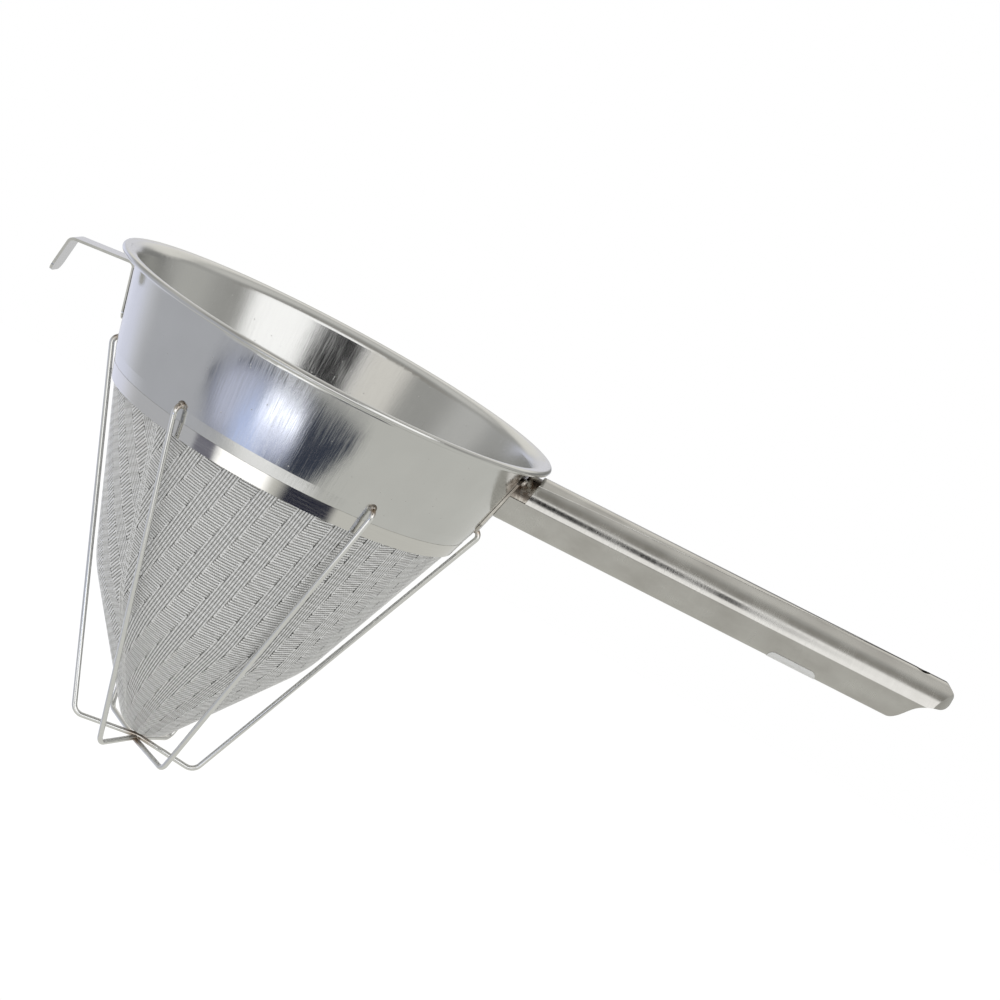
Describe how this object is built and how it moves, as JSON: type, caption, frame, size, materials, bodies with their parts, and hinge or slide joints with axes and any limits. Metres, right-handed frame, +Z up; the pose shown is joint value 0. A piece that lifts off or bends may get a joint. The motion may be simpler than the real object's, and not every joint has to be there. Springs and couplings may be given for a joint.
{
  "type": "chinois strainer",
  "caption": "Conical fine-mesh strainer with a rolled steel collar, a wire cage under the cone, a folded steel handle with a hanging hole, and a pot hook.",
  "frame": {"origin": "centre of the mouth, level with the top of the rolled lip, where the strainer hangs in a pot", "axes": "+Z up the bowl's axis out of the mouth, +X along the handle, -X towards the pot hook"},
  "size_m": [0.4272, 0.206, 0.1982],
  "materials": {
    "satin_steel": "satin",
    "polished_steel": "polished",
    "steel_mesh": "woven",
    "fine_steel_mesh": "woven",
    "steel_wire": "drawn",
    "weld_steel": "weld",
    "bracket_steel": "mill",
    "handle_steel": "brushed",
    "label_film": "matte"
  },
  "bodies": {
    "root": {"collar": "satin_steel", "clamp_ring": "polished_steel", "support_mesh": "steel_mesh", "fine_mesh": "fine_steel_mesh", "guard_bow_1": "steel_wire", "guard_bow_2": "steel_wire", "guard_bow_3": "steel_wire", "bow_welds": "weld_steel", "saddle_plate": "bracket_steel", "neck_bracket": "bracket_steel", "neck_welds": "weld_steel", "handle": "handle_steel", "blank_label": "label_film", "hook": "satin_steel"}
  },
  "joints": []
}
